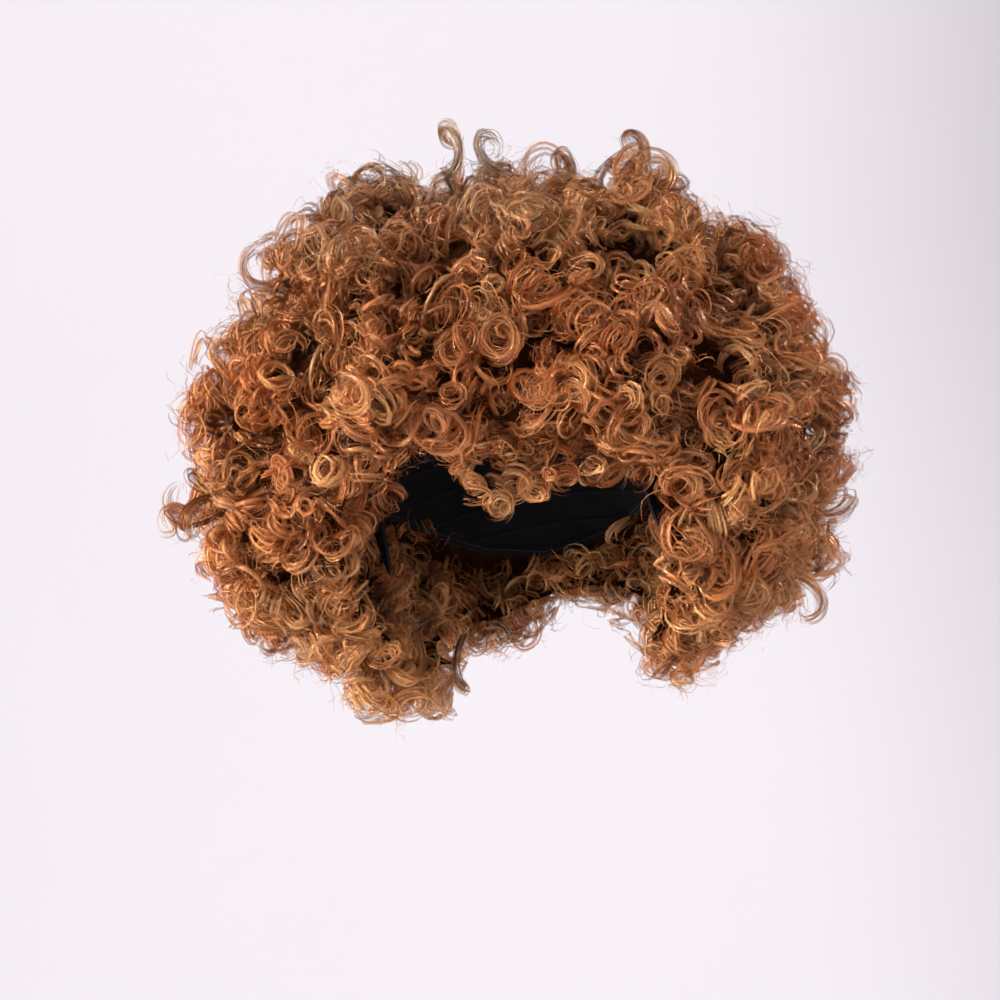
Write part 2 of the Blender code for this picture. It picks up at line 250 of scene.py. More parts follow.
class GeometryBoard(Board):
    """Geometry Nodes that grow things, with the tree's inputs by name."""

    def __init__(self, name, inputs):
        super().__init__(bpy.data.node_groups.new(name, "GeometryNodeTree"))
        face = self.tree.interface
        face.new_socket("Geometry", in_out="INPUT", socket_type="NodeSocketGeometry")
        for label, kind in inputs.items():
            face.new_socket(label, in_out="INPUT", socket_type=f"NodeSocket{kind}")
        face.new_socket("Geometry", in_out="OUTPUT", socket_type="NodeSocketGeometry")
        self.entry = self.tree.nodes.new("NodeGroupInput")
        self.exit = self.tree.nodes.new("NodeGroupOutput")

    def given(self, label):
        """What the tree is given under a label."""
        return Wire(self, self.entry.outputs[label])

    def finish(self, geometry):
        self.feed(self.exit.inputs[0], geometry)
        return self.tree

    def attribute(self, name, kind="FLOAT"):
        """What the geometry carries under a name."""
        return self.wire("GeometryNodeInputNamedAttribute", {"data_type": kind}, {"Name": name})

    def keep(self, geometry, name, value, kind="FLOAT"):
        """The geometry, which now carries a value under a name."""
        settings = {"data_type": kind, "domain": "POINT"}
        values = {"Geometry": geometry, "Name": name, "Value": value}
        return self.wire("GeometryNodeStoreNamedAttribute", settings, values)

    def chance(self, choice, dice):
        """A number in the choice's range for each value of dice."""
        seed, low, high = CHANCES[choice]
        values = {"Min": low, "Max": high, "ID": dice, "Seed": seed}
        return self.wire("FunctionNodeRandomValue", {"data_type": "FLOAT"}, values)

    def arrow(self, choice, dice):
        """A vector in the cube from -1 to 1 for each value of dice."""
        values = {"Min": (-1, -1, -1), "Max": (1, 1, 1), "ID": dice, "Seed": ARROWS[choice]}
        return self.wire("FunctionNodeRandomValue", {"data_type": "FLOAT_VECTOR"}, values)


class HairColours(bpy.types.PropertyGroup):
    """Colours of the fibre, as scene-linear values."""

    copper: FloatVectorProperty(
        name="Copper",
        description="Colour of most locks",
        subtype="COLOR",
        size=3,
        default=(0.52, 0.175, 0.052),
    )
    golden: FloatVectorProperty(
        name="Golden",
        description="Colour of the lighter locks",
        subtype="COLOR",
        size=3,
        default=(0.66, 0.325, 0.120),
    )
    ash: FloatVectorProperty(
        name="Ash",
        description="Colour of the palest locks at the top",
        subtype="COLOR",
        size=3,
        default=(0.47, 0.275, 0.140),
    )
    # The root colour: the fibre's dark roots, partly painted shade, and the painted shade of the core
    root: FloatVectorProperty(
        name="Root",
        description="Colour at the roots and in the core",
        subtype="COLOR",
        size=3,
        default=(0.110, 0.034, 0.011),
    )


class CurlSizes(bpy.types.PropertyGroup):
    """Sizes of the curled locks."""

    density: FloatProperty(
        name="Density", description="Locks for each square metre", default=9400.0, min=0
    )
    strands: IntProperty(name="Strands", description="Ribbons of fibre in each lock", default=5, min=1)
    steps: IntProperty(name="Steps", description="Segments along each ribbon", default=22, min=4)
    small: FloatProperty(
        name="Smallest ring", description="Radius of the tightest curls", unit="LENGTH", default=0.0042
    )
    large: FloatProperty(
        name="Largest ring", description="Radius of the widest curls", unit="LENGTH", default=0.0108
    )
    least_turns: FloatProperty(name="Least turns", description="Turns of the shortest curls", default=1.0)
    most_turns: FloatProperty(name="Most turns", description="Turns of the longest curls", default=2.9)
    pitch: FloatProperty(
        name="Pitch", description="How far a curl rises in one turn", unit="LENGTH", default=0.0052
    )
    ribbon: FloatProperty(
        name="Ribbon", description="Width of a ribbon of fibre", unit="LENGTH", default=0.0021
    )
    spread: FloatProperty(name="Spread", description="Thickness of a lock", unit="LENGTH", default=0.0036)
    depth: FloatProperty(name="Depth", description="How deep the roots start", unit="LENGTH", default=0.015)
    layer: FloatProperty(
        name="Layer", description="How much deeper the lowest locks lie", unit="LENGTH", default=0.007
    )
    clump: FloatProperty(
        name="Clump", description="How far whole tufts stand out or sink in", unit="LENGTH", default=0.044
    )
    facing: FloatProperty(name="Facing", description="How much the rings face outwards", default=0.30)
    sag: FloatProperty(name="Sag", description="How much the rings turn downwards", default=0.25)
    frizz: FloatProperty(name="Frizz", description="How far fibres stray", unit="LENGTH", default=0.0030)


class WigSizes(bpy.types.PropertyGroup):
    """Sizes of what lies under the locks."""

    grain: FloatProperty(
        name="Grain", description="Edge length of the growing surface", unit="LENGTH", default=0.006
    )
    softness: IntProperty(
        name="Softness", description="Rounds of smoothing of the growing surface", default=10, min=0
    )
    relaxing: IntProperty(
        name="Relaxing", description="Rounds of smoothing once drawn in", default=5, min=0
    )
    curl_inset: FloatProperty(
        name="Curl inset", description="Locks grow this far inside the outline", unit="LENGTH", default=0.0045
    )
    core_inset: FloatProperty(
        name="Core inset", description="The dark core lies this far inside", unit="LENGTH", default=0.017
    )
    cap_reach: FloatProperty(
        name="Cap reach", description="No lock grows nearer to the cap", unit="LENGTH", default=0.0035
    )


class Studio(bpy.types.PropertyGroup):
    """Camera, backdrop and light from all round."""

    distance: FloatProperty(
        name="Distance", description="From the camera to its target", unit="LENGTH", default=1.33
    )
    lens: FloatProperty(name="Lens", description="Focal length in millimetres", default=100.0)
    azimuth: FloatProperty(name="Azimuth", description="Degrees round from the front", default=7.0)
    elevation: FloatProperty(name="Elevation", description="Degrees above the horizon", default=11.0)
    roll: FloatProperty(name="Roll", description="Degrees that the wig leans to the left", default=10.5)
    paper: FloatVectorProperty(
        name="Paper",
        description="Colour of the backdrop",
        subtype="COLOR",
        size=3,
        default=(0.822, 0.796, 0.832),
    )
    air: FloatVectorProperty(
        name="Air",
        description="Colour of the light from all round",
        subtype="COLOR",
        size=3,
        default=(0.93, 0.90, 0.93),
    )
    air_strength: FloatProperty(
        name="Air strength", description="Strength of the light from all round", default=0.63
    )


def finish_mesh(name, source):
    """The evaluated mesh of an object as a plain object at the origin. The source is removed."""
    bpy.context.view_layer.update()
    graph = bpy.context.evaluated_depsgraph_get()
    mesh = bpy.data.meshes.new_from_object(source.evaluated_get(graph))
    mesh.transform(source.matrix_world)
    bpy.data.objects.remove(source)
    mesh.name = name
    made = bpy.data.objects.new(name, mesh)
    bpy.context.scene.collection.objects.link(made)
    return made


def show_piece(piece, slot, *replaced):
    """Lets a finished piece ride on the wig and hides the nodes that it stands for. Its slot is not used."""
    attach(piece, BODY)
    if replaced:
        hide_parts(*replaced)


def new_material(name):
    """A material, the board of its nodes and its shader."""
    made = bpy.data.materials.new(name)
    made.use_nodes = True
    board = Board(made.node_tree)
    return made, board, made.node_tree.nodes["Principled BSDF"]


def fibre_lanes(board, fibres, along, across, strand, tone):
    """Splits a ribbon along its length into fibres that wander a little from side to side.

    Gives each fibre's own tone, and the distance from its middle, which is 1 at its edge.
    """
    wander = 1.4
    spot = board.wire("ShaderNodeCombineXYZ", {}, {0: along * 5.0, 1: strand * 40.0, 2: across * 1.5})
    lane = (across + 0.5) * fibres + (board.noise(spot, 1.0, 1.0) - 0.5) * wander
    number = lane.floor()
    label = board.wire("ShaderNodeCombineXYZ", {}, {0: number, 1: strand * 100.0, 2: tone * 10.0})
    fibre_tone = board.wire("ShaderNodeTexWhiteNoise", {}, {"Vector": label}, "Value")
    offset = ((lane - number - 0.5) * 2.0).absolute()
    return fibre_tone, offset


def drifting_colour(board, colours, place, height, along, tone):
    """Copper with golden locks in patches and low down, ash locks on top, and dark roots: partly the fibre's
    own colour, partly painted shade deep in the mass.
    """
    patch = board.noise(place, 17.0, 2.0)
    low = 1.0 - place.part("Z").ramp(-0.18, -0.08)
    side = place.part("X").ramp(0.02, 0.10)
    share = tone * 0.6 + patch * 1.1 - 0.45 + height * 0.1 + low * (0.30 - side * 0.15)
    golden = share.ramp(0.25, 0.85)
    ash = (height * 1.0 - side * 0.8 + patch * 0.6 - 0.6 + tone * 0.35).ramp(0.38, 1.3)
    colour = board.mix(golden, tuple(colours.copper), tuple(colours.golden))
    colour = board.mix(ash, colour, tuple(colours.ash))
    # Root to tip: the dark roots are partly painted shade deep in the mass, less of it towards the top
    fade = (along * 1.5 + height * 0.2).ramp(0.05, 0.85)
    return board.mix(fade, tuple(colours.root), colour)


def hair_material(name, colours, ribbon, fibres=1, shade=1.0):
    """Fibre whose colour drifts over the wig, from lock to lock, and from root to tip. Its shade factor is
    painted light that lightens a whole copy of the fibre.

    A ribbon with several fibres is clear between them, so that each reads as a fine hair.
    """
    made, board, shader = new_material(name)
    place = board.wire("ShaderNodeTexCoord", output="Object")
    tone, strand = board.painted("tone"), board.painted("strand_tone")
    along, across = board.painted("along"), board.painted("across")
    fibre_tone, offset = fibre_lanes(board, fibres, along, across, strand, tone)

    streak = board.noise(place, 420.0, 2.0)
    # Painted light and shade: broad patches where the mass is painted lighter or darker
    painted_shade_noise = board.noise(place, 26.0, 1.0)
    height = place.part("Z").ramp(-0.05, 0.07)
    painted_shade_patches = 1.05 + painted_shade_noise.ramp(0.35, 0.62) * 0.42
    single = 0.48 + strand * 0.5 + fibre_tone * 0.66
    # Painted shade: the hair is darker towards the top, against the light that falls on it from above
    brightness = single * (0.85 + streak * 0.3) * painted_shade_patches * (1.08 - height * 0.30) * shade
    colour = drifting_colour(board, colours, place, height, along, tone)
    board.feed(shader.inputs["Base Color"], colour * brightness)
    board.feed(shader.inputs["Roughness"], 0.20 + streak * 0.2)
    shader.inputs["Metallic"].default_value = 0.22
    shader.inputs["Specular IOR Level"].default_value = 1.0
    shader.inputs["Specular Tint"].default_value = (1.0, 0.86, 0.70, 1.0)

    roundness = 1.0 - across * across * 4.0
    ridges = roundness - offset * offset * 0.12
    board.feed(shader.inputs["Normal"], board.relief(ridges, ribbon * 0.4, 0.9))
    if fibres > 1:
        fibre_width = 0.58
        shortest = 0.72
        reached = along.below(shortest + fibre_tone * 0.6)
        board.feed(shader.inputs["Alpha"], offset.below(fibre_width) * reached)
    return made


def painted_shade_core_material(colours):
    """Dense underhair that shows only between the locks, painted dark as the shade there."""
    made, board, shader = new_material("Painted shade underhair")
    # Painted shade: the core takes the root colour darkened to this share, so that the gaps between the locks
    # read as shadow
    deepest_painted_shade = 0.26
    place = board.wire("ShaderNodeTexCoord", output="Object")
    swirl = board.noise(place, 60.0, 4.0, 2.5)
    fine = board.noise(place, 700.0, 3.0, 4.0)
    dark = tuple(channel * deepest_painted_shade for channel in colours.root)
    colour = board.mix((swirl * 0.7 + fine * 0.6).ramp(0.5, 1.1) * 0.8, dark, tuple(colours.root))
    board.feed(shader.inputs["Base Color"], colour)
    board.feed(shader.inputs["Roughness"], 0.6 + fine * 0.3)
    shader.inputs["Specular IOR Level"].default_value = 0.0
    board.feed(shader.inputs["Normal"], board.relief(swirl + fine * 0.5, 0.002, 0.9))
    return made


def cloth_material(name, colour, thread, row_gap):
    """Fine net: threads that cross, one set round the head and one down it, with seams at a wider gap."""
    made, board, shader = new_material(name)
    cap_radius = 0.085
    place = board.wire("ShaderNodeTexCoord", output="Object")
    around = place.part("X").turn_from(place.part("Y"))
    weft = (around * (math.tau * cap_radius / thread)).sin()
    warp = (place.part("Z") * (math.tau / thread)).sin()
    net = weft * weft + warp * warp
    row = (place.part("Z") * (math.tau / row_gap)).sin().ramp(0.80, 1.0) * 2.5
    wear = board.noise(place, 45.0, 4.0)
    pale = tuple(channel * 3.0 + 0.01 for channel in colour)
    mixed = board.mix((net * 0.35 + wear * 0.6 - 0.3).ramp(0.0, 1.0), tuple(colour), pale)
    board.feed(shader.inputs["Base Color"], mixed)
    board.feed(shader.inputs["Roughness"], 0.7 + wear * 0.25)
    shader.inputs["Sheen Weight"].default_value = 0.04
    shader.inputs["Specular IOR Level"].default_value = 0.15
    shader.inputs["Sheen Roughness"].default_value = 0.5
    board.feed(shader.inputs["Normal"], board.relief(net * 0.5 + wear * 0.3 + row, 0.0004, 0.5))
    return made


def strand_tree():
    """Grows a bundle of curled ribbons from each point, from what the point says of its curl."""
    board = GeometryBoard("Curled strands", STRAND_INPUTS)
    size = {"Size X": 1.0, "Size Y": 1.0, "Vertices X": board.given("Steps") + 1.0, "Vertices Y": 2}
    blank = board.node("GeometryNodeMeshGrid", {}, size)
    spot = board.wire("GeometryNodeInputPosition")
    ribbon = Wire(board, blank.outputs["Mesh"])
    ribbon = board.keep(ribbon, "along", spot.part("X") + 0.5)
    ribbon = board.keep(ribbon, "across", spot.part("Y"))

    amount = {"Geometry": board.given("Geometry"), "Amount": board.given("Strands")}
    several = board.node("GeometryNodeDuplicateElements", {"domain": "POINT"}, amount)
    copies = Wire(board, several.outputs["Geometry"])
    copies = board.keep(copies, "strand", Wire(board, several.outputs["Duplicate Index"]), "INT")
    grown = board.wire("GeometryNodeInstanceOnPoints", {}, {"Points": copies, "Instance": ribbon})
    grown = board.wire("GeometryNodeRealizeInstances", {}, {"Geometry": grown})

    # The lock's own frame: its axis, and two directions across it
    along = board.attribute("along")
    across = board.attribute("across")
    lock = board.attribute("lock", "INT")
    dice = lock * RIBBON_NUMBERS + board.attribute("strand", "INT")
    root = board.attribute("root", "FLOAT_VECTOR")
    out = board.attribute("out", "FLOAT_VECTOR")
    axis = board.attribute("axis", "FLOAT_VECTOR")
    side = axis.cross(board.arrow("lock side", lock)).unit()
    hand = (board.chance("hand", lock) * 1000.0).at_least(-1.0).at_most(1.0)
    lift = axis.cross(side) * hand

    # The ring, which opens from the root and tightens to the tip
    turns = board.attribute("turns") * board.chance("ribbon turns", dice)
    angle = along * turns * math.tau + board.chance("ribbon start", dice)
    spiral = side * angle.cos() + lift * angle.sin()
    opening = along.ramp(-0.12, 0.34)
    tightening = 1.0 - along * along * board.attribute("taper")
    radius = board.attribute("ring") * opening * tightening * board.chance("ribbon ring", dice)

    # The lock's middle line, from its sunk root to its tip
    sink = (1.0 - along) ** 3.0 * board.attribute("depth")
    rise = board.attribute("rise") * (along - 0.15)
    droop = along * along * board.attribute("droop") + (1.0 - (1.0 - along) ** 3.0) * board.attribute("hang")
    centre = root - out * sink + axis * rise + droop * DOWN
    drift_at = board.arrow("lock drift", lock) * 50.0 + along * 1.3
    drift = board.noise(drift_at, 1.0, 0.0, output="Color")
    sway = (drift - 0.5) * board.attribute("ring") * along * 1.9

    # Each ribbon's own place in the lock, and how it strays from it
    bunch = board.arrow("ribbon place", dice) * board.given("Spread") * (0.3 + along * 0.45)
    ripple_at = root * 90.0 + spiral * 0.6 + board.arrow("ribbon ripple", dice) * 3.0 + along * 2.4
    ripple = board.noise(ripple_at, 1.0, 1.0, output="Color")
    stray = (ripple - 0.5) * board.given("Frizz") * (0.4 + along * 1.4)

    # The ribbon's width, which turns about its length and narrows at the tip
    twist = board.chance("ribbon twist", dice) + along * 1.3
    flat = (axis * twist.cos() + spiral * twist.sin()).unit()
    width = board.given("Ribbon") * (1.0 - along ** 4.0 * 0.85) * board.chance("ribbon width", dice)
    place = centre + spiral * radius + bunch + sway + stray + flat * (across * width)

    grown = board.keep(grown, "strand_tone", board.chance("ribbon tone", dice))
    grown = board.wire("GeometryNodeSetPosition", {}, {"Geometry": grown, "Position": place})
    grown = board.wire("GeometryNodeSetShadeSmooth", {}, {"Geometry": grown})
    finish = {"Geometry": grown, "Material": board.given("Material")}
    return board.finish(board.wire("GeometryNodeSetMaterial", {}, finish))


def scatter_tree(strands):
    """Scatters curls over a surface, each with its own size, lean and tone, and grows them."""
    inputs = {
        "Density": "Float",
        "Seed": "Int",
        "Small": "Float",
        "Large": "Float",
        "Least turns": "Float",
        "Most turns": "Float",
        "Pitch": "Float",
        "Depth": "Float",
        "Layer": "Float",
        "Facing": "Float",
        "Sag": "Float",
        "Clump": "Float",
        **STRAND_INPUTS,
    }
    board = GeometryBoard("Scattered curls", inputs)
    density = board.given("Density") * board.attribute("growth")
    spots = board.node(
        "GeometryNodeDistributePointsOnFaces",
        {"distribute_method": "RANDOM"},
        {"Mesh": board.given("Geometry"), "Density": density, "Seed": board.given("Seed")},
    )
    points = Wire(board, spots.outputs["Points"])
    out = board.attribute("facing", "FLOAT_VECTOR").unit()
    index = board.wire("GeometryNodeInputIndex")
    points = board.keep(points, "lock", index, "INT")
    lock = board.attribute("lock", "INT")
    small, large = board.given("Small"), board.given("Large")
    size = board.chance("lock size", lock) ** 1.5
    ring = small + (large - small) * size
    longest = board.given("Most turns") - board.given("Least turns")
    turns = board.given("Least turns") + longest * board.chance("lock turns", lock) * (1.1 - size * 0.6)
    layer = board.chance("lock layer", lock) ** 1.4
    lean = board.arrow("lock lean", lock) + board.given("Sag") * DOWN
    axis = (out * board.given("Facing") + lean).unit()
    points = board.keep(points, "out", out, "FLOAT_VECTOR")
    points = board.keep(points, "axis", axis, "FLOAT_VECTOR")
    spot = board.wire("GeometryNodeInputPosition")
    shift = (board.noise(spot, 27.0, 0.5) - 0.46) * board.given("Clump") - layer * board.given("Layer")
    root = spot + board.attribute("out", "FLOAT_VECTOR") * shift
    rise = board.attribute("turns") * board.given("Pitch") * board.chance("lock rise", lock)
    points = board.keep(points, "root", root, "FLOAT_VECTOR")
    points = board.keep(points, "ring", ring)
    points = board.keep(points, "turns", turns)
    points = board.keep(points, "taper", board.chance("lock taper", lock))
    points = board.keep(points, "rise", rise)
    points = board.keep(points, "depth", board.given("Depth"))
    points = board.keep(points, "droop", board.chance("lock droop", lock))
    points = board.keep(points, "tone", board.chance("lock tone", lock))
    group = board.tree.nodes.new("GeometryNodeGroup")
    group.node_tree = strands
    board.feed(group.inputs["Geometry"], points)
    for label in STRAND_INPUTS:
        board.feed(group.inputs[label], board.given(label))
    return board.finish(Wire(board, group.outputs[0]))


def tree_named(name, make, *needs):
    """The tree of that name, made if it isn't there yet."""
    found = bpy.data.node_groups.get(name)
    return found or make(*needs)


def grow(name, surface, tree, values):
    """Runs a tree on a copy of a surface and returns the plain mesh that it makes."""
    carrier = bpy.data.objects.new(name + "_carrier", surface)
    bpy.context.scene.collection.objects.link(carrier)
    modifier = carrier.modifiers.new("growth", "NODES")
    modifier.node_group = tree
    for item in tree.interface.items_tree:
        if item.in_out == "INPUT" and item.name in values:
            modifier[item.identifier] = values[item.name]
    made = finish_mesh(name, carrier)
    triangles = 2 * len(made.data.polygons)
    print(f"{name}: {triangles} triangles")
    if not 0 < triangles < PIECE_LIMIT:
        raise RuntimeError(f"{name} has {triangles} triangles")
    return made


def search_tree(*nodes):
    """Search tree over the faces of some CAD nodes."""
    points, faces = [], []
    for node in nodes:
        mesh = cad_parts[node].data
        start = len(points)
        points += [v.co.copy() for v in mesh.vertices]
        faces += [[start + i for i in p.vertices] for p in mesh.polygons]
    return BVHTree.FromPolygons(points, faces)


def golden_directions(count):
    """Directions spread evenly over a sphere."""
    step = math.pi * (3 - math.sqrt(5))
    for index in range(count):
        height = 1 - 2 * (index + 0.5) / count
        flat = math.sqrt(1 - height * height)
        yield Vector((flat * math.sin(index * step), flat * math.cos(index * step), height))


class HairChart:
    """How far the hair's solid reaches from its centre in each direction, without its single curls.

    Of all that it reaches within a window round a direction, it takes the value that a share lies below.
    """

    rays = 3000
    far = 0.4
    neighbours = 6

    def __init__(self, window, share):
        tree = search_tree("hair_mass")
        found = []
        for direction in golden_directions(self.rays):
            start = HAIR_CENTRE + direction * self.far
            hit, _, _, distance = tree.ray_cast(start, -direction, self.far)
            if hit:
                found.append((direction, self.far - distance))
        rough = KDTree(len(found))
        for index, (direction, _) in enumerate(found):
            rough.insert(direction, index)
        rough.balance()
        self.reaches = []
        for direction, _ in found:
            near = sorted(found[index][1] for _, index, _ in rough.find_range(direction, window))
            self.reaches.append(near[int(share * (len(near) - 1))])
        self.tree = rough

    def reach(self, direction):
        near = self.tree.find_n(direction, self.neighbours)
        weights = [1 / (distance + 0.01) for _, _, distance in near]
        total = sum(w * self.reaches[index] for w, (_, index, _) in zip(weights, near))
        return total / sum(weights)


# The share of its normal past which the surface faces down, to the front or outwards
FACING_SHARE = 0.5
OUTSIDE_SHARE = 0.3

# How much denser than outside the locks are at the hem, in the face opening and elsewhere inside
HEM_DENSITY = 1.3
OPENING_DENSITY = 2.3
INNER_DENSITY = 1.35

# The hem is drawn in by at least this share of the inset
HEM_SUNK = 0.8

# Nothing is drawn in by more than this share of the way to the other side
THIN_SHARE = 0.4

# The window and share of the hair's chart, for the locks and for the core
LOCK_LEVEL = (0.07, 0.80)
CORE_LEVEL = (0.14, 0.40)


def density_at(normal, outward):
    """How dense the locks are where the surface faces this way."""
    if normal.z < -FACING_SHARE:
        return HEM_DENSITY
    if outward > OUTSIDE_SHARE:
        return 1.0
    return OPENING_DENSITY if normal.y < -FACING_SHARE else INNER_DENSITY


def even_hair(sizes):
    """The hair's solid as one even and softened mesh."""
    source = bpy.data.objects.new("soft_copy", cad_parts["hair_mass"].data.copy())
    bpy.context.scene.collection.objects.link(source)
    weld = source.modifiers.new("weld", "WELD")
    weld.merge_threshold = WELD_GAP
    even = source.modifiers.new("even", "REMESH")
    even.mode = "VOXEL"
    even.voxel_size = sizes.grain
    soft = source.modifiers.new("soft", "SMOOTH")
    soft.factor = 0.5
    soft.iterations = sizes.softness
    piece = finish_mesh("growing_surface", source)
    mesh = piece.data
    bpy.data.objects.remove(piece)
    return mesh


def relax(mesh, rounds):
    """Evens out what drawing in has creased."""
    sheet = bmesh.new()
    sheet.from_mesh(mesh)
    ways = {"use_axis_x": True, "use_axis_y": True, "use_axis_z": True}
    for _ in range(rounds):
        bmesh.ops.smooth_vert(sheet, verts=sheet.verts, factor=0.5, **ways)
    sheet.to_mesh(mesh)
    sheet.free()


def safe_depth(skin, place, normal, grain, depth):
    """The depth, or less of it where the hair is so thin that its two sides would cross."""
    just_inside = place - normal * grain * 0.2
    across = skin.ray_cast(just_inside, -normal, depth * 3)[3]
    return depth if across is None else min(depth, across * THIN_SHARE)


def growing_surface(sizes, inset, level):
    """An even copy of the hair's solid, drawn in by an inset, that says where and which way curls grow."""
    mesh = even_hair(sizes)
    seat = search_tree("cap", "edge_binding", "ear_tab_left", "ear_tab_right")
    chart = HairChart(*level)
    growth = mesh.attributes.new("growth", "FLOAT", "POINT")
    facing = mesh.attributes.new("facing", "FLOAT_VECTOR", "POINT")
    places = [v.co.copy() for v in mesh.vertices]
    normals = [v.normal.copy() for v in mesh.vertices]
    skin = BVHTree.FromPolygons(places, [tuple(p.vertices) for p in mesh.polygons])
    for index, (place, normal) in enumerate(zip(places, normals)):
        direction = (place - HAIR_CENTRE).normalized()
        outward = min(max(normal.dot(direction), 0), 1)
        gap = seat.find_nearest(place)[3]
        free = min(max((gap - sizes.cap_reach) / sizes.cap_reach, 0), 1)
        sunk = max(1 - outward, HEM_SUNK) if normal.z < -FACING_SHARE else 1 - outward
        depth = safe_depth(skin, place, normal, sizes.grain, inset * free * sunk)
        place = place - normal * depth
        limit = chart.reach(direction) - inset
        reach = (place - HAIR_CENTRE).length
        if reach > limit:
            place = HAIR_CENTRE + direction * limit
            normal = Vector(direction[i] / HALF_SIZE[i] ** 2 for i in range(3)).normalized()
        growth.data[index].value = free * density_at(normal, outward)
        facing.data[index].vector = normal
        mesh.vertices[index].co = place
    relax(mesh, sizes.relaxing)
    return mesh


def fringe_surface(weft_reach):
    """A copy of the fringe's solid on which curls grow mostly along the weft."""
    beyond_weft = 0.12
    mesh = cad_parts["fringe"].data.copy()
    seat = search_tree("cap", "edge_binding")
    growth = mesh.attributes.new("growth", "FLOAT", "POINT")
    facing = mesh.attributes.new("facing", "FLOAT_VECTOR", "POINT")
    for index, vertex in enumerate(mesh.vertices):
        place, _, _, gap = seat.find_nearest(vertex.co)
        growth.data[index].value = 1.0 if gap < weft_reach else beyond_weft
        facing.data[index].vector = (vertex.co - place).normalized()
    return mesh


def loose_points(rows, first, hanging, root_depth):
    """One loose point for each row of the table, with all that a curl grows from."""
    hanging_rise = 0.004
    mesh = bpy.data.meshes.new("loose_points")
    curls = [Curl(*row) for row in rows]
    outs, places = [], []
    for curl in curls:
        turn, lean = math.radians(curl.bearing), math.radians(curl.forward)
        out = Vector((math.cos(turn) * math.cos(lean), -math.sin(lean), math.sin(turn) * math.cos(lean)))
        outs.append(out)
        places.append(HAIR_CENTRE + out * curl.reach * MM)
    mesh.from_pydata(places, [], [])
    count = len(curls)
    numbers = {
        "ring": [curl.ring * MM for curl in curls],
        "turns": [curl.turns for curl in curls],
        "rise": [hanging_rise if hanging else curl.rise * MM for curl in curls],
        "tone": [curl.tone for curl in curls],
        "taper": [0.25] * count,
        "depth": [root_depth] * count,
        "droop": [0.002] * count,
        "hang": [curl.rise * MM if hanging else 0.0 for curl in curls],
    }
    for name, values in numbers.items():
        mesh.attributes.new(name, "FLOAT", "POINT").data.foreach_set("value", values)
    mesh.attributes.new("lock", "INT", "POINT").data.foreach_set("value", range(first, first + count))
    sides = [DOWN if hanging else DOWN.cross(out).normalized() for out in outs]
    axes = [
        (out * curl.outward + side * (1 - curl.outward)).normalized()
        for out, side, curl in zip(outs, sides, curls)
    ]
    for name, vectors in {"root": places, "out": outs, "axis": axes}.items():
        flat = [number for vector in vectors for number in vector]
        mesh.attributes.new(name, "FLOAT_VECTOR", "POINT").data.foreach_set("vector", flat)
    return mesh


# Where the pieces of the hair meet, as shares of the wig's half size from the hair's centre
CROWN_ABOVE = 0.52
BACK_BEHIND = 0.5
BROW_BEFORE = 0.62
BROW_WITHIN = 0.62


def region_of(place):
    """Which piece of the hair a point belongs to."""
    away = Vector((place - HAIR_CENTRE)[i] / HALF_SIZE[i] for i in range(3))
    if away.z > CROWN_ABOVE:
        return "crown"
    if away.y > BACK_BEHIND:
        return "back"
    if away.y < -BROW_BEFORE and abs(away.x) < BROW_WITHIN:
        return "brow"
    return "left" if away.x > 0 else "right"


def part_surface(mesh, region):
    """The faces of a surface that lie in one region, as a mesh of their own."""
    sheet = bmesh.new()
    sheet.from_mesh(mesh)
    others = [f for f in sheet.faces if region_of(f.calc_center_median()) != region]
    bmesh.ops.delete(sheet, geom=others, context="FACES")
    made = bpy.data.meshes.new("surface_" + region)
    sheet.to_mesh(made)
    sheet.free()
    return made


REGIONS = ("crown", "brow", "left", "right", "back")

Curl = namedtuple("Curl", "bearing forward reach ring turns rise outward tone")

